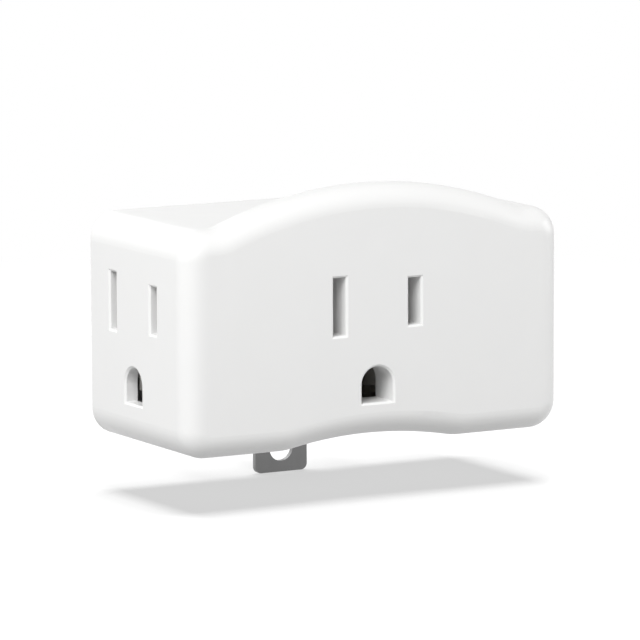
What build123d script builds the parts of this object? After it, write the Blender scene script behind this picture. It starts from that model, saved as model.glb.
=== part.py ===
"""Three-outlet grounding plug adapter with a ground tab, in millimetres.

The origin is midway between the two plug blades, on the plane of the back.
X runs to the right seen from the front, Y runs back towards the wall and Z is up.
"""

from build123d import *
import math
import os

# Housing, outside
body_width = 63.7
body_depth = 30.5
deck_height = 18.7
base_drop = 14.9
corner_radius = 4.3
face_radius = 3.5
rim_break = 0.25
wall = 2.1

# Arched brow along the front of the top
crown_rise = 5.2
crown_depth = 5.2
crown_blend = 6.0
crown_margin = 0.5
crown_rear_radius = 1.6

# Shallow arch under the base
base_arch_rise = 1.5
base_arch_width = 30.6
base_arch_blend = 10.0

# Outlets, the same on the front and both sides
blade_pitch = 12.7
ground_drop = 11.9
outlet_height = 6.2
side_outlet_shift = 0.2
slot_width = 2.1
neutral_slot = 8.65
hot_slot = 7.05
ground_hole_radius = 2.64
ground_hole_foot = 2.75
mouth_chamfer = 0.3
pad_depth = 3.3
pad_margin = 2.2

# Plugs that the outlets take
plug_blade_height = 7.9
ground_pin_radius = 2.4
plug_clearance = 0.25

# Sprung clips
clip_sheet = 0.5
clip_length = 11.0
clip_base_length = 6.0
clip_height = 6.4
clip_mouth_gap = 0.6
clip_flare = 0.7
clip_pinch_setback = 2.0
blade_clip_width = 4.6
blade_clip_grip = 1.3
blade_finger_foot = 1.0
ground_clip_width = 6.4
ground_clip_grip = 4.4
ground_finger_foot = 2.4
finger_bend = 1.5
lug_length = 2.4
lug_width = 1.6
lug_stake = 0.3
lug_spread = 0.2

# Bus strips
strip = 0.8
strip_width = 6.0
strip_end_gap = 4.9
strip_bend = 1.0
spine_inner_edge = 3.4
spine_outer_edge = 12.0
spine_tail_gap = 0.4
flag_margin = 0.4

# Plug blades
blade_thickness = 1.5
neutral_blade_height = 7.9
hot_blade_height = 6.35
blade_reach = 16.5
blade_tail_margin = 2.75
blade_shoulder = 0.8
blade_tip_chamfer = 0.45
blade_hole_radius = 1.6
blade_hole_reach = 11.7

# Ground tab
tab_sheet = 0.8
tab_width = 8.9
tab_foot_length = 9.0
tab_hole_drop = 19.45
tab_hole_radius = 2.0
tab_margin = 3.65
tab_corner_radius = 1.0
tab_bend = 1.0

# Rivets
rivet_radius = 0.8
rivet_head_radius = 1.3
rivet_head = 0.5
blade_rivet_drop = 1.8

# Back cover, its screws and the bosses they run into
cover_thickness = 2.5
screw_radius = 0.95
screw_length = 9.0
screw_head_radius = 1.75
screw_head = 1.2
screw_sink = 0.1
screw_drive_length = 2.0
screw_drive_width = 0.5
screw_drive_depth = 0.6
boss_radius = 2.0
boss_inset = 2.4

# Ribs inside the housing
rib = 1.5
rib_spread = 14.0
shelf_thickness = 1.4
shelf_width = 6.8
gusset_tip = 1.2

# Clearances
cover_clearance = 0.1
slot_clearance = 0.1
hole_clearance = 0.05
seat_clearance = 0.05

# Places worked out from the sizes above
half_width = body_width / 2
inner_half = half_width - wall
inner_front = wall - body_depth
pad_face = inner_front + pad_depth
cover_front = -cover_thickness
side_outlet_y = (pad_face + cover_front) / 2 + side_outlet_shift
front_arm_y = side_outlet_y - blade_pitch / 2
rear_arm_y = side_outlet_y + blade_pitch / 2
inner_top = deck_height - wall
inner_base = wall - base_drop
ground_height = outlet_height - ground_drop
plug_room = plug_clearance + rivet_head + clip_sheet
hot_level = outlet_height + plug_blade_height / 2 + plug_room
neutral_level = outlet_height - plug_blade_height / 2 - plug_room
ground_level = ground_height - ground_pin_radius - plug_room
strip_end = inner_half - strip_end_gap
boss_places = [(side * (inner_half - boss_inset), inner_top - boss_inset) for side in (-1, 1)]
tab_foot_level = ground_level + tab_sheet / 2
blade_tail_y = rear_arm_y - blade_tail_margin
tab_rivet_y = cover_front - (tab_foot_length - cover_thickness) / 2
flag_x = (blade_pitch + blade_thickness + strip) / 2 + seat_clearance
flag_foot = -blade_rivet_drop - rivet_head_radius - flag_margin
screw_planes = [Plane((x, -screw_sink, z), x_dir=(1, 0, 0), z_dir=(0, 1, 0)) for x, z in boss_places]

# The sides of the body, each looked at from outside: x to the right, y up, z outwards
outlets = {
    "front": Plane((0, -body_depth, outlet_height), x_dir=(1, 0, 0), z_dir=(0, -1, 0)),
    "left": Plane((-half_width, side_outlet_y, outlet_height), x_dir=(0, -1, 0), z_dir=(-1, 0, 0)),
    "right": Plane((half_width, side_outlet_y, outlet_height), x_dir=(0, 1, 0), z_dir=(1, 0, 0)),
}
outlet_walls = {"front": wall + pad_depth, "left": wall, "right": wall}

os.makedirs("parts", exist_ok=True)


def arch(start, heading, half_span, rise, blend, turn):
    """Draw an arch that leaves a straight run through a small blend and returns to it the same way."""
    radius = (half_span**2 / rise + rise) / 2 - blend
    angle = turn * math.degrees(math.asin(half_span / (radius + blend)))
    first = JernArc(start, heading, blend, angle)
    middle = JernArc(first @ 1, first % 1, radius, -2 * angle)
    last = JernArc(middle @ 1, middle % 1, blend, angle)
    return [first, middle, last]


def body_outline(crowned):
    """Draw the body seen from the front, with or without the brow on its top."""
    base_half = base_arch_width / 2
    crown_half = half_width - corner_radius - crown_margin
    with BuildSketch(Plane.XZ.offset(body_depth)) as outline:
        with BuildLine():
            base_left = Line((-half_width, -base_drop), (-base_half, -base_drop))
            base = arch(base_left @ 1, base_left % 1, base_half, base_arch_rise, base_arch_blend, 1)
            base_right = Line(base[-1] @ 1, (half_width, -base_drop))
            right = Line(base_right @ 1, (half_width, deck_height))
            if crowned:
                deck_right = Line(right @ 1, (crown_half, deck_height))
                crown = arch(deck_right @ 1, deck_right % 1, crown_half, crown_rise, crown_blend, -1)
                deck = Line(crown[-1] @ 1, (-half_width, deck_height))
            else:
                deck = Line(right @ 1, (-half_width, deck_height))
            Line(deck @ 1, base_left @ 0)
        make_face()
        sides = outline.vertices().group_by(Axis.X)
        fillet(sides[0] + sides[-1], corner_radius)
    return outline.sketch


def inset_outline(inset, plane):
    """Draw the plain outline moved inwards, on a plane that faces the front."""
    with BuildSketch(plane) as inner:
        add(Plane.XZ.offset(body_depth).to_local_coords(plain_outline))
        offset(amount=-inset)
    return inner.sketch


def outlet_openings(plane):
    """Draw one outlet's two slots and its ground hole, on the face that carries it."""
    with BuildSketch(plane) as openings:
        with Locations((-blade_pitch / 2, 0)):
            Rectangle(slot_width, neutral_slot)
        with Locations((blade_pitch / 2, 0)):
            Rectangle(slot_width, hot_slot)
        with Locations((0, -ground_drop)):
            Circle(ground_hole_radius)
            Rectangle(2 * ground_hole_radius, ground_hole_foot, align=(Align.CENTER, Align.MAX))
    return openings.sketch


plain_outline = body_outline(crowned=False)
crowned_outline = body_outline(crowned=True)

with BuildPart() as brow:
    extrude(crowned_outline, amount=crown_depth, dir=(0, 1, 0))
    fillet(brow.faces().sort_by(Axis.Y)[-1].edges(), crown_rear_radius)

with BuildPart() as housing:
    extrude(plain_outline, amount=body_depth, dir=(0, 1, 0))
    add(brow.part)
    fillet(housing.faces().sort_by(Axis.Y)[0].outer_wire().edges(), face_radius)
    chamfer(housing.faces().sort_by(Axis.Y)[-1].outer_wire().edges(), rim_break)
    # Hollow, open at the back
    extrude(inset_outline(wall, Plane.XZ), amount=body_depth - wall, dir=(0, -1, 0), mode=Mode.SUBTRACT)
    # Thick pad behind the front outlet
    pad_width = blade_pitch + slot_width + 2 * pad_margin
    with BuildSketch(Plane.XZ.offset(-inner_front)):
        with Locations((0, inner_base)):
            Rectangle(pad_width, hot_level - inner_base, align=(Align.CENTER, Align.MIN))
    extrude(amount=-pad_depth)
    # Gusset on the pad, under the middle of the hot strip
    with BuildSketch(Plane.YZ):
        with BuildLine():
            gusset_top = hot_level - seat_clearance
            gusset_reach = front_arm_y - pad_face
            Polyline(
                (pad_face, gusset_top),
                (front_arm_y, gusset_top),
                (front_arm_y, gusset_top - gusset_tip),
                (pad_face, gusset_top - gusset_tip - gusset_reach),
                close=True,
            )
        make_face()
    extrude(amount=rib / 2, both=True)
    # Screw bosses in the upper corners, ribs above the hot strip and below the ground strip, side shelves
    with BuildSketch(Plane.XZ.offset(-inner_front)):
        with Locations(*boss_places):
            Circle(boss_radius)
        with Locations((-rib_spread, inner_top), (rib_spread, inner_top)):
            rib_drop = inner_top - hot_level - strip - seat_clearance
            Rectangle(rib, rib_drop, align=(Align.CENTER, Align.MAX))
        with Locations((-rib_spread, inner_base), (rib_spread, inner_base)):
            rib_rise = ground_level - strip - seat_clearance - inner_base
            Rectangle(rib, rib_rise, align=(Align.CENTER, Align.MIN))
        shelf_top = neutral_level - strip - seat_clearance
        with Locations((-inner_half, shelf_top)):
            Rectangle(shelf_width, shelf_thickness, align=(Align.MIN, Align.MAX))
        with Locations((inner_half, shelf_top)):
            Rectangle(shelf_width, shelf_thickness, align=(Align.MAX, Align.MAX))
    extrude(amount=-(cover_front - inner_front))
    # Outlets
    for name, plane in outlets.items():
        extrude(outlet_openings(plane), amount=outlet_walls[name], dir=-plane.z_dir, mode=Mode.SUBTRACT)
    for face in (
        housing.faces().sort_by(Axis.Y)[0],
        housing.faces().sort_by(Axis.X)[0],
        housing.faces().sort_by(Axis.X)[-1],
    ):
        chamfer([edge for wire in face.inner_wires() for edge in wire.edges()], mouth_chamfer)
    # Pilot holes in the bosses and a notch for the ground tab
    with BuildSketch(Plane.XZ.offset(-cover_front)):
        with Locations(*boss_places):
            Circle(screw_radius + hole_clearance)
    extrude(amount=screw_length, mode=Mode.SUBTRACT)
    with BuildSketch(Plane.XZ):
        with Locations((0, -base_drop)):
            notch_height = base_drop + tab_foot_level
            Rectangle(tab_width + 2 * slot_clearance, notch_height, align=(Align.CENTER, Align.MIN))
    extrude(amount=tab_sheet + slot_clearance, mode=Mode.SUBTRACT)


with BuildPart() as back_cover:
    extrude(inset_outline(wall + cover_clearance, Plane.XZ), amount=cover_thickness, dir=(0, -1, 0))
    chamfer(back_cover.faces().sort_by(Axis.Y)[-1].outer_wire().edges(), rim_break)
    # Slots for the two blades and the foot of the tab
    with BuildSketch(Plane.XZ):
        slot_across = blade_thickness + 2 * slot_clearance
        with Locations((-blade_pitch / 2, 0)):
            Rectangle(slot_across, neutral_blade_height + 2 * slot_clearance)
        with Locations((blade_pitch / 2, 0)):
            Rectangle(slot_across, hot_blade_height + 2 * slot_clearance)
        with Locations((0, tab_foot_level)):
            Rectangle(tab_width + 2 * slot_clearance, tab_sheet + 2 * slot_clearance)
    extrude(amount=cover_thickness, mode=Mode.SUBTRACT)
    # Shallow channel that the tab lies in, down to the lower edge
    with BuildSketch(Plane.XZ):
        channel_top = tab_foot_level + tab_sheet / 2 + slot_clearance
        with Locations((0, channel_top)):
            Rectangle(
                tab_width + 2 * slot_clearance,
                channel_top + base_drop,
                align=(Align.CENTER, Align.MAX),
            )
    extrude(amount=tab_sheet + slot_clearance, mode=Mode.SUBTRACT)
    bend_edge = (0, -tab_sheet - slot_clearance, tab_foot_level - tab_sheet / 2 - slot_clearance)
    fillet(back_cover.edges().filter_by(Axis.X).sort_by_distance(bend_edge)[0], tab_bend - tab_sheet / 2)
    # Sunk screw holes
    with Locations(*[plane.offset(screw_sink) for plane in screw_planes]):
        CounterBoreHole(
            screw_radius + slot_clearance,
            screw_head_radius + slot_clearance,
            screw_head + screw_sink,
        )


def plug_blade(side, height):
    """Make one plug blade, with a taller tail behind the cover that keeps it from being pulled out."""
    blade_face = Plane.YZ.offset((side * blade_pitch - blade_thickness) / 2)
    shoulder_y = cover_front - seat_clearance
    with BuildPart() as blade:
        with BuildSketch(blade_face):
            with Locations((shoulder_y, 0)):
                tail_height = height + 2 * blade_shoulder
                Rectangle(shoulder_y - blade_tail_y, tail_height, align=(Align.MAX, Align.CENTER))
                Rectangle(blade_reach - shoulder_y, height, align=(Align.MIN, Align.CENTER))
        extrude(amount=blade_thickness)
        chamfer(blade.edges().group_by(Axis.Y)[-1], blade_tip_chamfer)
        with BuildSketch(blade_face):
            with Locations((blade_hole_reach, 0)):
                Circle(blade_hole_radius)
            with Locations((rear_arm_y, -blade_rivet_drop)):
                Circle(rivet_radius + hole_clearance)
        extrude(amount=blade_thickness, mode=Mode.SUBTRACT)
    return blade.part


def clip_seat(outlet, offset, level, rise):
    """Give the plane a clip stands on: at its rear end, x towards the mouth and z away from its strip."""
    plane = outlets[outlet]
    setback = outlet_walls[outlet] + clip_mouth_gap + clip_length
    rear = plane.origin + plane.x_dir * offset - plane.z_dir * setback
    return Plane((rear.X, rear.Y, level), x_dir=plane.z_dir, z_dir=(0, 0, rise))


def lug_outline(seat, margin):
    """Draw the lug under a clip's base, made wider on all sides by a margin."""
    with BuildSketch(seat) as lug:
        with Locations((clip_base_length / 2, 0)):
            Rectangle(lug_length + 2 * margin, lug_width + 2 * margin)
    return lug.sketch


def contact_clip(seat, width, grip, finger_foot):
    """Make one sprung clip: a base with two walls, whose fingers pinch and then flare at the mouth.

    A lug under the base goes through the strip and is staked on its far side.
    """
    root = (width - clip_sheet) / 2
    pinch = (grip + clip_sheet) / 2
    with BuildPart() as clip:
        with BuildSketch(seat):
            Rectangle(clip_base_length, width, align=(Align.MIN, Align.CENTER))
        extrude(amount=clip_sheet)
        with BuildSketch(seat):
            with Locations((0, -root), (0, root)):
                Rectangle(clip_base_length, clip_sheet, align=(Align.MIN, Align.CENTER))
        extrude(amount=clip_height)
        with BuildSketch(seat.offset(finger_foot)):
            with BuildLine():
                FilletPolyline(
                    (clip_base_length / 2, root),
                    (clip_base_length, root),
                    (clip_length - clip_pinch_setback, pinch),
                    (clip_length, pinch + clip_flare),
                    radius=finger_bend,
                )
            trace(line_width=clip_sheet)
            mirror(about=Plane.XZ)
        extrude(amount=clip_height - finger_foot)
        extrude(lug_outline(seat, 0), amount=strip, dir=-seat.z_dir)
        extrude(lug_outline(seat.offset(-strip), lug_spread), amount=lug_stake, dir=-seat.z_dir)
    return clip.part


def outlet_bus(side, level, rise, seats):
    """Make one flat strip with an arm to each outlet, turned down beside its plug blade."""
    half = strip_width / 2
    middle = level - rise * strip / 2
    arm_start = flag_x + strip_bend
    spine_rear = blade_tail_y - spine_tail_gap
    with BuildPart() as bus:
        with BuildSketch(Plane.XY.offset(middle)):
            with BuildLine():
                Polyline(
                    (-side * strip_end, front_arm_y - half),
                    (side * spine_outer_edge, front_arm_y - half),
                    (side * spine_outer_edge, rear_arm_y - half),
                    (side * strip_end, rear_arm_y - half),
                    (side * strip_end, rear_arm_y + half),
                    (side * arm_start, rear_arm_y + half),
                    (side * arm_start, spine_rear),
                    (side * spine_inner_edge, spine_rear),
                    (side * spine_inner_edge, front_arm_y + half),
                    (-side * strip_end, front_arm_y + half),
                    close=True,
                )
            make_face()
        extrude(amount=strip / 2, both=True)
        with BuildSketch(Plane.XZ.offset(-rear_arm_y)):
            with BuildLine():
                FilletPolyline(
                    (side * (arm_start + strip), middle),
                    (side * flag_x, middle),
                    (side * flag_x, flag_foot),
                    radius=strip_bend,
                )
            trace(line_width=strip)
        extrude(amount=half, both=True)
        for seat in seats:
            extrude(lug_outline(seat, hole_clearance), amount=strip, dir=-seat.z_dir, mode=Mode.SUBTRACT)
        with BuildSketch(Plane.YZ.offset(side * flag_x)):
            with Locations((rear_arm_y, -blade_rivet_drop)):
                Circle(rivet_radius + hole_clearance)
        extrude(amount=strip, both=True, mode=Mode.SUBTRACT)
    return bus.part


def rivets(places, grip):
    """Make one rivet at each place: a head on the near side and a shank that ends flush on the far side."""
    with BuildPart() as group:
        with Locations(*places):
            Cylinder(rivet_head_radius, rivet_head, align=(Align.CENTER, Align.CENTER, Align.MIN))
        with Locations(*[place.offset(-grip) for place in places]):
            Cylinder(rivet_radius, grip, align=(Align.CENTER, Align.CENTER, Align.MIN))
    return group.part


neutral_seats = {name: clip_seat(name, -blade_pitch / 2, neutral_level, 1) for name in outlets}
hot_seats = {name: clip_seat(name, blade_pitch / 2, hot_level, -1) for name in outlets}
ground_seats = {name: clip_seat(name, 0, ground_level, 1) for name in outlets}

with BuildPart() as ground_bus:
    with BuildSketch(Plane.XY.offset(ground_level)):
        with Locations((0, side_outlet_y)):
            Rectangle(2 * strip_end, strip_width)
        spine_front = ground_seats["front"].origin.Y - clip_base_length
        with Locations((0, spine_front)):
            spine_length = cover_front - spine_tail_gap - spine_front
            Rectangle(strip_width, spine_length, align=(Align.CENTER, Align.MIN))
        with Locations((0, tab_rivet_y)):
            Circle(rivet_radius + hole_clearance, mode=Mode.SUBTRACT)
    extrude(amount=-strip)
    for seat in ground_seats.values():
        extrude(lug_outline(seat, hole_clearance), amount=strip, dir=-seat.z_dir, mode=Mode.SUBTRACT)

with BuildPart() as ground_tab:
    with BuildSketch(Plane.YZ):
        with BuildLine():
            FilletPolyline(
                (-tab_foot_length, tab_foot_level),
                (-tab_sheet / 2, tab_foot_level),
                (-tab_sheet / 2, -tab_hole_drop - tab_margin),
                radius=tab_bend,
            )
        trace(line_width=tab_sheet)
    extrude(amount=tab_width / 2, both=True)
    fillet(ground_tab.edges().filter_by(Axis.Y).group_by(Axis.Z)[0], tab_corner_radius)
    fillet(ground_tab.edges().filter_by(Axis.Z).group_by(Axis.Y)[0], tab_corner_radius)
    with BuildSketch(Plane.XZ):
        with Locations((0, -tab_hole_drop)):
            Circle(tab_hole_radius)
    extrude(amount=tab_sheet, mode=Mode.SUBTRACT)
    with BuildSketch(Plane.XY.offset(ground_level)):
        with Locations((0, tab_rivet_y)):
            Circle(rivet_radius + hole_clearance)
    extrude(amount=tab_sheet, mode=Mode.SUBTRACT)

with BuildPart() as cover_screws:
    with Locations(*screw_planes):
        Cylinder(screw_head_radius, screw_head, align=(Align.CENTER, Align.CENTER, Align.MAX))
        Box(
            screw_drive_length,
            screw_drive_width,
            screw_drive_depth,
            align=(Align.CENTER, Align.CENTER, Align.MAX),
            mode=Mode.SUBTRACT,
        )
        Box(
            screw_drive_width,
            screw_drive_length,
            screw_drive_depth,
            align=(Align.CENTER, Align.CENTER, Align.MAX),
            mode=Mode.SUBTRACT,
        )
    with Locations(*[plane.offset(-screw_head) for plane in screw_planes]):
        Cylinder(screw_radius, screw_length, align=(Align.CENTER, Align.CENTER, Align.MAX))

blade_inner_x = (blade_pitch - blade_thickness) / 2
blade_places = [
    Plane((side * blade_inner_x, rear_arm_y, -blade_rivet_drop), x_dir=(0, 1, 0), z_dir=(-side, 0, 0))
    for side in (-1, 1)
]
tab_place = Plane((0, tab_rivet_y, ground_level + tab_sheet))

pieces = {
    "housing": housing.part,
    "back_cover": back_cover.part,
    "neutral_blade": plug_blade(-1, neutral_blade_height),
    "hot_blade": plug_blade(1, hot_blade_height),
    "ground_tab": ground_tab.part,
    "neutral_bus": outlet_bus(-1, neutral_level, 1, neutral_seats.values()),
    "hot_bus": outlet_bus(1, hot_level, -1, hot_seats.values()),
    "ground_bus": ground_bus.part,
    "blade_rivets": rivets(blade_places, blade_thickness + seat_clearance + strip),
    "tab_rivet": rivets([tab_place], tab_sheet + strip),
    "cover_screws": cover_screws.part,
}
for name in outlets:
    pieces[f"{name}_neutral_clip"] = contact_clip(
        neutral_seats[name], blade_clip_width, blade_clip_grip, blade_finger_foot
    )
    pieces[f"{name}_hot_clip"] = contact_clip(
        hot_seats[name], blade_clip_width, blade_clip_grip, blade_finger_foot
    )
    pieces[f"{name}_ground_clip"] = contact_clip(
        ground_seats[name], ground_clip_width, ground_clip_grip, ground_finger_foot
    )

for name, piece in pieces.items():
    piece.label = name
    export_step(piece, f"parts/{name}.step")
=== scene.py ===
"""Dress the grounding plug adapter: finishes, threaded cover screws, studio light and camera.

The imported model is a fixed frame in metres. The shell, blades, tab and contacts keep their solids and get
their finishes here. The two cover screws are modelled anew, with threads and tapered cross recesses.
"""

import logging
import math
from collections.abc import Callable, Iterator
from dataclasses import dataclass, field
from enum import Enum
from typing import Any

import bmesh
import bpy
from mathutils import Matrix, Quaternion, Vector


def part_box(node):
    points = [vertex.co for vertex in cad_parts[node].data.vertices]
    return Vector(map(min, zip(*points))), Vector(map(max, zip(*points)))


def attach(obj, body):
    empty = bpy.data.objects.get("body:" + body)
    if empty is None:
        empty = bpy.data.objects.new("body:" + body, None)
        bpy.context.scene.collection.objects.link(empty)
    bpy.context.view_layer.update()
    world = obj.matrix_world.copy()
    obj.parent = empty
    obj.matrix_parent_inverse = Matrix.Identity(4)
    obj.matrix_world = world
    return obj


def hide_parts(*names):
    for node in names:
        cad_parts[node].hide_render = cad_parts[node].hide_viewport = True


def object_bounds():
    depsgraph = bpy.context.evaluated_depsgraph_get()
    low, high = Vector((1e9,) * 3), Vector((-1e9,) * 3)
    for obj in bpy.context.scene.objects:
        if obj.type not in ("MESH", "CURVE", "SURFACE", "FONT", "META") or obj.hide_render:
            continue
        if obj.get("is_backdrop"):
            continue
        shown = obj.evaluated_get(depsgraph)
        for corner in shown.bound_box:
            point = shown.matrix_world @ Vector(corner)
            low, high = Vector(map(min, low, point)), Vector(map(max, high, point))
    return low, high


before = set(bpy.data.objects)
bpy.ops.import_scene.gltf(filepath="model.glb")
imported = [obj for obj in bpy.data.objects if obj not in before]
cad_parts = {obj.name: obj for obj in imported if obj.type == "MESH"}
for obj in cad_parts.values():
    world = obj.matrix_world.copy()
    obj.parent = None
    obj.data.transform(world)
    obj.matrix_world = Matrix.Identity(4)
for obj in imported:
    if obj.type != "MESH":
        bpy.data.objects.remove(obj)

LOG = logging.getLogger("plug_adapter")
MM = 0.001
WHITE = 1.0  # the strength at which the floor and the background show as white

Colour = tuple[float, float, float]
Point = tuple[float, float, float]
Span = tuple[float, float]
Socket = bpy.types.NodeSocket


class Effect(Enum):
    """The surface effects that several finishes share."""

    GRAIN = "moulded_grain"
    ROLLING = "rolling_marks"
    HANDLING = "handling_film"


class Lie(Enum):
    """The way the rolling marks run on a sheet: the turns about X, Y and Z that bring that way onto X."""

    ALONG_X = (0.0, 0.0, 0.0)
    ALONG_Y = (0.0, 0.0, math.pi / 2)
    ALONG_Z = (0.0, math.pi / 2, 0.0)


class Rise(Enum):
    """How a value goes from 0 to 1."""

    STRAIGHT = "LINEAR"
    SOFT = "SMOOTHSTEP"


class Reach(Enum):
    """What a lamp lights: everything but the floor, or the floor alone."""

    OBJECT = "EXCLUDE"
    FLOOR = "INCLUDE"


class Wiring:
    """Adds nodes to one node tree and joins them."""

    # A Mix node has sockets for each kind of data. These are the numbers of those for colours.
    MIX_FACTOR, MIX_FIRST, MIX_SECOND, MIX_RESULT = 0, 6, 7, 2

    def __init__(self, tree: bpy.types.NodeTree) -> None:
        """Start with an empty tree.

        Args:
            tree: The node tree of a material, a group or the world.
        """
        tree.nodes.clear()
        self.tree = tree

    def add(self, kind: str, inputs: dict[str | int, Any] | None = None, **settings: Any) -> bpy.types.Node:
        """Add a node.

        Args:
            kind: The node's type.
            inputs: Values for its sockets, or sockets to join to them, by name or number.
            settings: Values for the node's own settings.

        Returns:
            The new node.
        """
        node = self.tree.nodes.new(kind)
        for name, value in settings.items():
            setattr(node, name, value)
        for key, value in (inputs or {}).items():
            if isinstance(value, Socket):
                self.tree.links.new(value, node.inputs[key])
            else:
                node.inputs[key].default_value = value
        return node

    def math(self, operation: str, first: Socket, second: Socket | float) -> Socket:
        """Join two values by an operation and give the result."""
        return self.add("ShaderNodeMath", {0: first, 1: second}, operation=operation).outputs[0]

    def noise(self, place: Socket, scale: Socket, **inputs: float) -> Socket:
        """Give the value of a noise, with any other inputs of its node by name."""
        return self.add("ShaderNodeTexNoise", {"Vector": place, "Scale": scale, **inputs}).outputs[0]

    def spread(self, value: Socket, low: float, high: float) -> Socket:
        """Stretch a value that runs from 0 to 1 so that it runs from low to high."""
        node = self.add("ShaderNodeMapRange", {"Value": value, "To Min": low, "To Max": high})
        return node.outputs["Result"]

    def rise(self, value: Socket, span: Span, shape: Rise) -> Socket:
        """Give a value that goes from 0 to 1 as another one crosses a span."""
        ends = {"Value": value, "From Min": span[0], "From Max": span[1]}
        return self.add("ShaderNodeMapRange", ends, interpolation_type=shape.value).outputs["Result"]

    def blend(self, factor: Socket, first: Colour, second: Colour) -> Socket:
        """Mix two colours by a factor and give the result."""
        sockets = {self.MIX_FACTOR: factor, self.MIX_FIRST: (*first, 1.0), self.MIX_SECOND: (*second, 1.0)}
        return self.add("ShaderNodeMix", sockets, data_type="RGBA").outputs[self.MIX_RESULT]


class EffectKit:
    """Builds each shared effect once, as a shader node group that reads a place and a scale."""

    # Scales of the broad layers of an effect, as shares of its own scale.
    FLOW_SCALE = 0.04
    PEEL_SCALE = 0.12
    BAND_SCALE = 0.15
    # The height of the moulding's broad peel, as a multiple of its fine grain's.
    PEEL_HEIGHT = 2.0
    # What draws the rolling marks out along X.
    MARK_STRETCH = (0.03, 1.0, 1.0)
    # The noise values at which a film starts and is full.
    FILM_EDGE = (0.42, 0.68)

    def __init__(self) -> None:
        """Build the three groups."""
        self.groups: dict[Effect, bpy.types.NodeTree] = {
            Effect.GRAIN: self._moulded_grain(),
            Effect.ROLLING: self._rolling_marks(),
            Effect.HANDLING: self._handling_film(),
        }

    def place(self, wiring: Wiring, effect: Effect, place: Socket, scale: float) -> bpy.types.Node:
        """Place an effect in a material at a scale in features per metre, and give the group node."""
        inputs = {"Vector": place, "Scale": scale}
        return wiring.add("ShaderNodeGroup", inputs, node_tree=self.groups[effect])

    @staticmethod
    def _start(effect: Effect, outputs: tuple[str, ...]) -> tuple[Wiring, Socket, Socket]:
        """Start a group that reads a place and a scale.

        Args:
            effect: The effect that the group is for.
            outputs: The names of the values that it puts out.

        Returns:
            The group's wiring, the socket with the place and the socket with the scale.
        """
        tree = bpy.data.node_groups.new(effect.value, "ShaderNodeTree")
        tree.interface.new_socket("Vector", in_out="INPUT", socket_type="NodeSocketVector")
        tree.interface.new_socket("Scale", in_out="INPUT", socket_type="NodeSocketFloat")
        for name in outputs:
            tree.interface.new_socket(name, in_out="OUTPUT", socket_type="NodeSocketFloat")
        wiring = Wiring(tree)
        source = wiring.add("NodeGroupInput")
        return wiring, source.outputs["Vector"], source.outputs["Scale"]

    def _moulded_grain(self) -> bpy.types.NodeTree:
        """Build the fine texture of a mould's wall, with slow drifts of tone where the plastic flowed.

        Returns:
            The group.
        """
        wiring, place, scale = self._start(Effect.GRAIN, ("Height", "Tone"))
        fine = wiring.noise(place, scale, Detail=3.0)
        flow = wiring.noise(place, wiring.math("MULTIPLY", scale, self.FLOW_SCALE), Distortion=0.6)
        wave = wiring.noise(place, wiring.math("MULTIPLY", scale, self.PEEL_SCALE), Detail=1.0)
        peel = wiring.math("MULTIPLY", wave, self.PEEL_HEIGHT)
        wiring.add("NodeGroupOutput", {"Height": wiring.math("ADD", fine, peel), "Tone": flow})
        return wiring.tree

    def _rolling_marks(self) -> bpy.types.NodeTree:
        """Build the long fine marks that rolls leave on sheet metal, along X.

        Returns:
            The group.
        """
        wiring, place, scale = self._start(Effect.ROLLING, ("Height", "Tone"))
        stretch = {0: place, 1: self.MARK_STRETCH}
        drawn = wiring.add("ShaderNodeVectorMath", stretch, operation="MULTIPLY").outputs[0]
        marks = wiring.noise(drawn, scale, Detail=4.0)
        bands = wiring.noise(drawn, wiring.math("MULTIPLY", scale, self.BAND_SCALE), Detail=2.0)
        wiring.add("NodeGroupOutput", {"Height": marks, "Tone": bands})
        return wiring.tree

    def _handling_film(self) -> bpy.types.NodeTree:
        """Build the patchy film that fingers leave, as a mask.

        Returns:
            The group.
        """
        wiring, place, scale = self._start(Effect.HANDLING, ("Mask",))
        patches = wiring.noise(place, scale, Detail=5.0, Roughness=0.6, Distortion=1.2)
        wiring.add("NodeGroupOutput", {"Mask": wiring.rise(patches, self.FILM_EDGE, Rise.STRAIGHT)})
        return wiring.tree


@dataclass(frozen=True)
class Finish:
    """A finish whose colour and gloss drift a little over a surface with a fine relief.

    Scales are in features per metre and the relief is in metres.
    """

    name: str
    colour: Colour
    drift: float
    roughness: float
    film_roughness: float
    film_scale: float
    grain_scale: float
    relief: float
    metallic: float = 0.0

    def pattern(self, wiring: Wiring, kit: EffectKit, place: Socket) -> bpy.types.Node:
        """Place the effect that gives the surface its relief and its drift of tone."""
        return kit.place(wiring, Effect.GRAIN, place, self.grain_scale)

    def material(self, kit: EffectKit) -> bpy.types.Material:
        """Make the material.

        Args:
            kit: The shared effects.

        Returns:
            The finished material.
        """
        material = bpy.data.materials.new(self.name)
        material.use_nodes = True
        wiring = Wiring(material.node_tree)
        place = wiring.add("ShaderNodeTexCoord").outputs["Object"]
        pattern = self.pattern(wiring, kit, place)
        film = kit.place(wiring, Effect.HANDLING, place, self.film_scale)
        dark: Colour = tuple(part * (1.0 - self.drift) for part in self.colour)
        light: Colour = tuple(min(1.0, part * (1.0 + self.drift)) for part in self.colour)
        bump = wiring.add(
            "ShaderNodeBump",
            {"Height": pattern.outputs["Height"], "Strength": 1.0, "Distance": self.relief},
        )
        surface = wiring.add(
            "ShaderNodeBsdfPrincipled",
            {
                "Base Color": wiring.blend(pattern.outputs["Tone"], dark, light),
                "Roughness": wiring.spread(film.outputs["Mask"], self.roughness, self.film_roughness),
                "Metallic": self.metallic,
                "Normal": bump.outputs["Normal"],
            },
        )
        wiring.add("ShaderNodeOutputMaterial", {"Surface": surface.outputs[0]})
        return material


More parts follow.
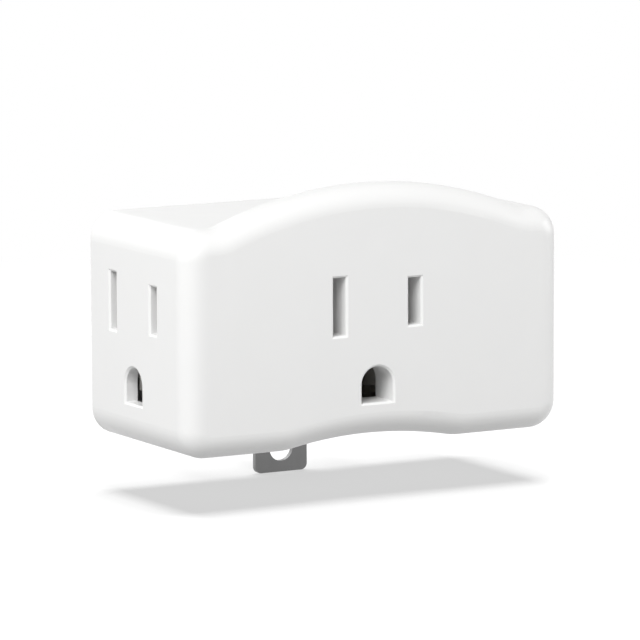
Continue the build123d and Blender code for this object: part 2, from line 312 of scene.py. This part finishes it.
@dataclass(frozen=True)
class RolledSheet(Finish):
    """Sheet metal with rolling marks along one axis."""

    lie: Lie = Lie.ALONG_X
    metallic: float = 1.0

    def pattern(self, wiring: Wiring, kit: EffectKit, place: Socket) -> bpy.types.Node:
        """Place the rolling marks, turned to the way they run on this sheet."""
        turned = wiring.add("ShaderNodeMapping", {"Vector": place, "Rotation": self.lie.value})
        return kit.place(wiring, Effect.ROLLING, turned.outputs[0], self.grain_scale)


WHITE_MOULDING = Finish(
    name="satin_white_moulding",
    colour=(0.82, 0.82, 0.815),
    drift=0.012,
    roughness=0.36,
    film_roughness=0.44,
    film_scale=90.0,
    grain_scale=3500.0,
    relief=0.0000012,
)
TAB_SHEET = RolledSheet(
    name="dull_plated_steel",
    colour=(0.22, 0.22, 0.22),
    drift=0.06,
    roughness=0.38,
    film_roughness=0.46,
    film_scale=220.0,
    grain_scale=5000.0,
    relief=0.0000015,
    lie=Lie.ALONG_Z,
)
BLADE_NICKEL = RolledSheet(
    name="satin_nickel",
    colour=(0.62, 0.6, 0.56),
    drift=0.06,
    roughness=0.27,
    film_roughness=0.31,
    film_scale=120.0,
    grain_scale=4000.0,
    relief=0.0000008,
    lie=Lie.ALONG_Y,
)
STRIP_BRASS = RolledSheet(
    name="rolled_brass",
    colour=(0.72, 0.52, 0.22),
    drift=0.08,
    roughness=0.3,
    film_roughness=0.42,
    film_scale=200.0,
    grain_scale=5000.0,
    relief=0.000002,
    lie=Lie.ALONG_X,
)
CLIP_TIN = RolledSheet(
    name="dull_tinned_brass",
    colour=(0.5, 0.49, 0.47),
    drift=0.08,
    roughness=0.42,
    film_roughness=0.52,
    film_scale=300.0,
    grain_scale=6000.0,
    relief=0.000002,
    lie=Lie.ALONG_Z,
)
SCREW_ZINC = Finish(
    name="bright_zinc",
    colour=(0.5, 0.5, 0.51),
    drift=0.07,
    roughness=0.3,
    film_roughness=0.45,
    film_scale=500.0,
    grain_scale=7000.0,
    relief=0.000002,
    metallic=1.0,
)


class Bench:
    """The modelling steps that the new pieces share."""

    # How far along an axis a face's normal points when the face counts as facing that way.
    FACING = 0.9

    @staticmethod
    def clear() -> None:
        """Leave edit mode and deselect everything."""
        if bpy.context.mode != "OBJECT":
            bpy.ops.object.mode_set(mode="OBJECT")
        bpy.ops.object.select_all(action="DESELECT")

    @staticmethod
    def take(piece: bpy.types.Object) -> None:
        """Select one piece alone and make it active.

        Args:
            piece: The piece to work on.
        """
        Bench.clear()
        piece.select_set(True)
        bpy.context.view_layer.objects.active = piece

    @staticmethod
    def faces_up(face: bmesh.types.BMFace) -> bool:
        """Say whether a face looks up."""
        return face.normal.z > Bench.FACING

    @staticmethod
    def faces_down(face: bmesh.types.BMFace) -> bool:
        """Say whether a face looks down."""
        return face.normal.z < -Bench.FACING

    @staticmethod
    def pick(piece: bpy.types.Object, test: Callable[[bmesh.types.BMFace], bool]) -> None:
        """Select, in edit mode, the faces that pass a test and no others.

        Args:
            piece: The piece that is being edited.
            test: Says whether a face is wanted.
        """
        shape = bmesh.from_edit_mesh(piece.data)
        bpy.ops.mesh.select_mode(type="FACE")
        bpy.ops.mesh.select_all(action="DESELECT")
        for face in shape.faces:
            face.select_set(test(face))
        shape.select_flush_mode()
        bmesh.update_edit_mesh(piece.data)

    @staticmethod
    def apply(piece: bpy.types.Object, kind: str, **settings: Any) -> None:
        """Add a modifier to a piece and apply it.

        Args:
            piece: The piece to finish.
            kind: The modifier's type.
            settings: Values for the modifier's settings.
        """
        Bench.take(piece)
        modifier = piece.modifiers.new(kind.lower(), kind)
        for name, value in settings.items():
            setattr(modifier, name, value)
        bpy.ops.object.modifier_apply(modifier=modifier.name)

    @staticmethod
    def settle(piece: bpy.types.Object) -> None:
        """Put a piece's place, turn and scale into its mesh."""
        Bench.take(piece)
        bpy.ops.object.transform_apply(location=True, rotation=True, scale=True)


@dataclass
class SubAssembly:
    """Pieces that belong together and the finish that each CAD node among them gets."""

    kit: EffectKit
    finishes: dict[str, Finish] = field(default_factory=dict)

    def dress(self) -> Iterator[str]:
        """Give each node its finish.

        Returns:
            The names of the nodes, as they are dressed.
        """
        made: dict[str, bpy.types.Material] = {}
        for name, finish in self.finishes.items():
            if finish.name not in made:
                made[finish.name] = finish.material(self.kit)
            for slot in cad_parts[name].material_slots:
                slot.material = made[finish.name]
            yield name


@dataclass
class Shell(SubAssembly):
    """The housing and the cover that closes its back."""

    finishes: dict[str, Finish] = field(
        default_factory=lambda: {"housing": WHITE_MOULDING, "back_cover": WHITE_MOULDING}
    )


@dataclass
class PlugEnd(SubAssembly):
    """The two blades and the ground tab, which go to the wall."""

    finishes: dict[str, Finish] = field(
        default_factory=lambda: {
            "neutral_blade": BLADE_NICKEL,
            "hot_blade": BLADE_NICKEL,
            "ground_tab": TAB_SHEET,
        }
    )


@dataclass
class Contacts(SubAssembly):
    """The strips, rivets and sprung clips inside."""

    outlets: tuple[str, ...] = ("front", "left", "right")
    poles: tuple[str, ...] = ("neutral", "hot", "ground")

    def __post_init__(self) -> None:
        """List the pieces in bare brass and those in tin: the clips and the ground strip."""
        brass = ("neutral_bus", "hot_bus", "blade_rivets", "tab_rivet")
        clips = (f"{outlet}_{pole}_clip" for outlet in self.outlets for pole in self.poles)
        self.finishes = {name: STRIP_BRASS for name in brass}
        self.finishes |= {name: CLIP_TIN for name in ("ground_bus", *clips)}


@dataclass
class CoverScrews(SubAssembly):
    """The two screws that hold the cover, with a rounded head, a tapered cross recess and a thread.

    Sizes are in millimetres and angles in degrees. The recess's foot is given as shares of its length and
    width at the top, and the thread's flank as a share of the pitch. A screw is modelled upright with its
    head's top at the origin, and then turned about X so that the head looks to the wall.
    """

    node: str = "cover_screws"
    head_radius: float = 1.75
    head_height: float = 1.2
    head_round: float = 0.3
    head_round_steps: int = 5
    recess_length: float = 2.0
    recess_width: float = 0.5
    recess_depth: float = 0.75
    recess_foot: Span = (0.31, 0.62)
    core_radius: float = 0.72
    thread_radius: float = 0.94
    thread_foot: float = 0.16
    thread_flank: float = 0.4
    thread_sides: int = 3
    pitch: float = 0.8
    tip_length: float = 1.2
    tip_radius: float = 0.2
    segments: int = 48
    wall_turn: float = -90.0
    smooth_angle: float = 35.0

    def build(self) -> list[bpy.types.Object]:
        """Model one screw, cut its recess, wind its thread and put a copy at each place.

        Returns:
            The two finished screws.
        """
        low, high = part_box(self.node)
        length = (high.y - low.y) / MM
        pattern = self._blank(length)
        self._cut_recess(pattern)
        self._wind_thread(pattern, length)
        middle_z = (low.z + high.z) / 2
        offset = high.x - self.head_radius * MM
        screws = []
        for name, x in (("left_cover_screw", -offset), ("right_cover_screw", offset)):
            screw = pattern.copy()
            screw.data = pattern.data.copy()
            screw.name = name
            bpy.context.collection.objects.link(screw)
            screw.scale = (MM, MM, MM)
            screw.rotation_euler = (math.radians(self.wall_turn), 0.0, 0.0)
            screw.location = (x, high.y, middle_z)
            Bench.settle(screw)
            bpy.ops.object.shade_smooth_by_angle(angle=math.radians(self.smooth_angle))
            screws.append(screw)
        bpy.data.objects.remove(pattern)
        return screws

    def _blank(self, length: float) -> bpy.types.Object:
        """Model the head and the core that narrows to the tip.

        Args:
            length: The screw's whole length in millimetres.

        Returns:
            The blank, upright.
        """
        Bench.clear()
        bpy.ops.mesh.primitive_cylinder_add(
            vertices=self.segments,
            radius=self.head_radius,
            depth=self.head_height,
            location=(0.0, 0.0, -self.head_height / 2),
        )
        blank = bpy.context.object
        Bench.settle(blank)
        bpy.ops.object.mode_set(mode="EDIT")
        Bench.pick(blank, Bench.faces_up)
        bpy.ops.mesh.bevel(offset=self.head_round, segments=self.head_round_steps, affect="EDGES")
        Bench.pick(blank, Bench.faces_down)
        bpy.ops.mesh.inset(thickness=self.head_radius - self.core_radius)
        core_length = length - self.head_height - self.tip_length
        bpy.ops.mesh.extrude_region_move(TRANSFORM_OT_translate={"value": (0.0, 0.0, -core_length)})
        bpy.ops.mesh.extrude_region_move(TRANSFORM_OT_translate={"value": (0.0, 0.0, -self.tip_length)})
        narrowing = self.tip_radius / self.core_radius
        bpy.ops.transform.resize(value=(narrowing, narrowing, 1.0))
        bpy.ops.object.mode_set(mode="OBJECT")
        return blank

    def _cut_recess(self, blank: bpy.types.Object) -> None:
        """Cut the tapered cross recess in the head with two crossed wedges.

        Args:
            blank: The screw to cut.
        """
        foot_length, foot_width = self.recess_foot
        for turn in (0.0, math.pi / 2):
            Bench.clear()
            bpy.ops.mesh.primitive_cube_add(size=1.0)
            wedge = bpy.context.object
            # The wedge's middle is at the head's top, so half of its height cuts.
            wedge.scale = (self.recess_length, self.recess_width, 2 * self.recess_depth)
            Bench.settle(wedge)
            bpy.ops.object.mode_set(mode="EDIT")
            Bench.pick(wedge, Bench.faces_down)
            bpy.ops.transform.resize(value=(foot_length, foot_width, 1.0))
            bpy.ops.object.mode_set(mode="OBJECT")
            wedge.rotation_euler = (0.0, 0.0, turn)
            Bench.settle(wedge)
            Bench.apply(blank, "BOOLEAN", operation="DIFFERENCE", object=wedge, solver="EXACT")
            bpy.data.objects.remove(wedge)

    def _wind_thread(self, blank: bpy.types.Object, length: float) -> None:
        """Wind a three-sided ridge round the core and join it to the screw.

        Args:
            blank: The screw that gets the thread.
            length: The screw's whole length in millimetres.
        """
        # The first pitch under the head stays plain, so there is one turn less than the core has room for.
        start = -self.head_height - self.pitch
        turns = int((length - self.head_height - self.tip_length) / self.pitch) - 1
        steps = self.segments // 2
        flank = self.pitch * self.thread_flank
        foot_x = self.core_radius - self.thread_foot
        Bench.clear()
        bpy.ops.mesh.primitive_circle_add(vertices=self.thread_sides, radius=1.0, fill_type="NOTHING")
        ridge = bpy.context.object
        section = (
            (self.thread_radius, 0.0, start),
            (foot_x, 0.0, start - flank),
            (foot_x, 0.0, start + flank),
        )
        for vertex, corner in zip(ridge.data.vertices, section):
            vertex.co = corner
        Bench.apply(
            ridge,
            "SCREW",
            axis="Z",
            screw_offset=-self.pitch,
            iterations=turns,
            steps=steps,
            render_steps=steps,
            use_merge_vertices=True,
        )
        bpy.ops.object.mode_set(mode="EDIT")
        bpy.ops.mesh.select_mode(type="EDGE")
        bpy.ops.mesh.select_all(action="SELECT")
        bpy.ops.mesh.fill_holes(sides=self.thread_sides)
        bpy.ops.mesh.select_all(action="SELECT")
        bpy.ops.mesh.normals_make_consistent(inside=False)
        bpy.ops.object.mode_set(mode="OBJECT")
        Bench.apply(blank, "BOOLEAN", operation="UNION", object=ridge, solver="EXACT")
        bpy.data.objects.remove(ridge)

    def dress(self) -> Iterator[str]:
        """Build the screws and give them their finish, in place of the plain ones.

        Returns:
            The names of the screws, as they are dressed.
        """
        zinc = SCREW_ZINC.material(self.kit)
        for screw in self.build():
            screw.data.materials.clear()
            screw.data.materials.append(zinc)
            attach(screw, "root")
            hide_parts(self.node)
            yield screw.name


def heading(azimuth: float, elevation: float) -> Vector:
    """Give the direction of a place round the object.

    Args:
        azimuth: Degrees from straight in front towards the object's left.
        elevation: Degrees above the horizon.

    Returns:
        A direction of length 1, away from the object.
    """
    turn, rise = math.radians(azimuth), math.radians(elevation)
    return Vector((-math.sin(turn) * math.cos(rise), -math.cos(turn) * math.cos(rise), math.sin(rise)))


@dataclass(frozen=True)
class Lamp:
    """A soft box that faces the object, with its angles in degrees and its lengths in metres.

    The level is how bright the lamp makes a white card that faces it.
    """

    name: str
    azimuth: float
    elevation: float
    level: float
    reach: Reach = Reach.OBJECT
    distance: float = 0.7
    width: float = 0.4
    height: float = 0.4

    def hang(self, floor: bpy.types.Object) -> bpy.types.Object:
        """Hang the lamp so that it faces the object and lights the floor alone or all but the floor.

        Args:
            floor: The studio's floor.

        Returns:
            The lamp.
        """
        light = bpy.data.lights.new(self.name, "AREA")
        light.shape = "RECTANGLE"
        light.size = self.width
        light.size_y = self.height
        light.energy = self.level * (math.pi * self.distance) ** 2
        lamp = bpy.data.objects.new(self.name, light)
        bpy.context.collection.objects.link(lamp)
        away = heading(self.azimuth, self.elevation)
        lamp.location = away * self.distance
        lamp.rotation_euler = away.to_track_quat("Z", "Y").to_euler()
        lamp.visible_camera = False
        lit = bpy.data.collections.new(f"{self.name}_reach")
        lit.objects.link(floor)
        lit.collection_objects[0].light_linking.link_state = self.reach.value
        lamp.light_linking.receiver_collection = lit
        return lamp


@dataclass
class Studio:
    """The white floor, the soft light round the object and the lamps.

    Lengths are in metres and strengths are shares of white. The light that the floor throws back is a glow,
    painted dimmer close to the object as painted shade in place of the object's shadow: it rises across
    shaded_reach from close_bounce to open_bounce. What is seen of the floor is shade_share of the light on
    it, added to a glow, and turns to plain white across glow_reach.
    """

    floor_width: float = 8.0
    floor_gap: float = 0.0001
    ambient: float = 0.25
    close_bounce: float = 0.52
    open_bounce: float = 0.67
    shaded_reach: Span = (0.035, 0.13)
    shade_share: float = 0.18
    glow: float = 0.585
    glow_reach: Span = (0.1, 0.25)
    lamps: tuple[Lamp, ...] = (
        Lamp("key_box", azimuth=50.0, elevation=43.0, level=0.98),
        Lamp("fill_box", azimuth=-70.0, elevation=8.0, level=0.49),
        Lamp("side_box", azimuth=115.0, elevation=8.0, level=0.1),
        Lamp("back_box", azimuth=180.0, elevation=10.0, level=0.4),
        Lamp("top_box", azimuth=0.0, elevation=88.0, level=4.6, reach=Reach.FLOOR, width=0.5, height=0.7),
    )

    def build(self, floor_height: float) -> None:
        """Lay the floor, light the world and hang the lamps.

        Args:
            floor_height: The height of the object's lowest point.
        """
        floor = self._lay_floor(floor_height - self.floor_gap)
        LOG.info("floor %s", floor.name)
        self._light_world()
        for lamp in self.lamps:
            LOG.info("lamp %s", lamp.hang(floor).name)

    @staticmethod
    def _seen(wiring: Wiring) -> Socket:
        """Tell what the camera sees straight on, mirrored or through glass from the light that bounces.

        Args:
            wiring: The wiring of the floor or the world.

        Returns:
            The socket with the value, which is 1 for what is seen and 0 for the rest.
        """
        path = wiring.add("ShaderNodeLightPath").outputs
        mirrored = wiring.math("MAXIMUM", path["Is Glossy Ray"], path["Is Transmission Ray"])
        return wiring.math("MAXIMUM", path["Is Camera Ray"], mirrored)

    def _lay_floor(self, height: float) -> bpy.types.Object:
        """Lay a floor that looks white, keeps the object's shadow and throws light back up.

        Args:
            height: The floor's height.

        Returns:
            The floor.
        """
        Bench.clear()
        bpy.ops.mesh.primitive_plane_add(size=self.floor_width, location=(0.0, 0.0, height))
        floor = bpy.context.object
        floor.name = "studio_floor"
        Bench.settle(floor)
        material = bpy.data.materials.new("white_floor")
        material.use_nodes = True
        wiring = Wiring(material.node_tree)
        place = wiring.add("ShaderNodeTexCoord").outputs["Object"]
        distance = wiring.add("ShaderNodeVectorMath", {0: place}, operation="LENGTH").outputs["Value"]
        # Painted shade: the glow that reaches the object as bounced light is set dimmer close to the
        # object, in place of the shadow that the object casts there.
        in_the_open = wiring.rise(distance, self.shaded_reach, Rise.SOFT)
        bounce = wiring.spread(in_the_open, self.close_bounce, self.open_bounce)
        card = wiring.add("ShaderNodeEmission", {"Strength": bounce})
        shade = (self.shade_share, self.shade_share, self.shade_share, 1.0)
        shaded = wiring.add("ShaderNodeBsdfDiffuse", {"Color": shade})
        glow = wiring.add("ShaderNodeEmission", {"Strength": self.glow})
        close = wiring.add("ShaderNodeAddShader", {0: shaded.outputs[0], 1: glow.outputs[0]})
        white = wiring.add("ShaderNodeEmission", {"Strength": WHITE})
        far_off = wiring.rise(distance, self.glow_reach, Rise.SOFT)
        shown = wiring.add("ShaderNodeMixShader", {0: far_off, 1: close.outputs[0], 2: white.outputs[0]})
        both = {0: self._seen(wiring), 1: card.outputs[0], 2: shown.outputs[0]}
        surface = wiring.add("ShaderNodeMixShader", both)
        wiring.add("ShaderNodeOutputMaterial", {"Surface": surface.outputs[0]})
        floor.data.materials.append(material)
        floor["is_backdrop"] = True
        return floor

    def _light_world(self) -> None:
        """Surround the object with even soft light, in front of a white background."""
        world = bpy.data.worlds.new("studio_light")
        world.use_nodes = True
        bpy.context.scene.world = world
        wiring = Wiring(world.node_tree)
        strength = wiring.spread(self._seen(wiring), self.ambient, WHITE)
        backdrop = wiring.add("ShaderNodeBackground", {"Color": (1.0, 1.0, 1.0, 1.0), "Strength": strength})
        wiring.add("ShaderNodeOutputWorld", {"Surface": backdrop.outputs[0]})


@dataclass(frozen=True)
class PhotoCamera:
    """The camera at the photograph's place: angles in degrees, the lens and sensor in mm, the rest in m."""

    azimuth: float = 29.226
    elevation: float = 8.245
    roll: float = -0.226
    aim: Point = (-0.00760, -0.02663, 0.00392)
    distance: float = 0.88175
    lens: float = 337.5
    sensor: float = 36.0

    def set_up(self) -> bpy.types.Object:
        """Make the camera and give it to the scene.

        Returns:
            The camera.
        """
        camera = bpy.data.cameras.new("photo_camera")
        camera.lens = self.lens
        camera.sensor_width = self.sensor
        stand = bpy.data.objects.new("photo_camera", camera)
        bpy.context.collection.objects.link(stand)
        away = heading(self.azimuth, self.elevation)
        stand.location = Vector(self.aim) + away * self.distance
        turn = away.to_track_quat("Z", "Y") @ Quaternion((0.0, 0.0, 1.0), math.radians(self.roll))
        stand.rotation_euler = turn.to_euler()
        bpy.context.scene.camera = stand
        return stand


def corners(box: tuple[Vector, Vector]) -> list[list[float]]:
    """Give a box's two corners as plain lists."""
    return [list(corner) for corner in box]


def main() -> None:
    """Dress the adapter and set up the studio."""
    logging.basicConfig(level=logging.INFO, format="%(name)s: %(message)s")
    cad_box = corners(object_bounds())
    bpy.context.scene.view_settings.view_transform = "Standard"
    kit = EffectKit()
    for assembly in (Shell(kit), PlugEnd(kit), Contacts(kit), CoverScrews(kit)):
        for name in assembly.dress():
            LOG.info("%s: %s", type(assembly).__name__, name)
    Studio().build(floor_height=cad_box[0][2])
    LOG.info("camera %s", PhotoCamera().set_up().name)


if __name__ == "__main__":
    main()
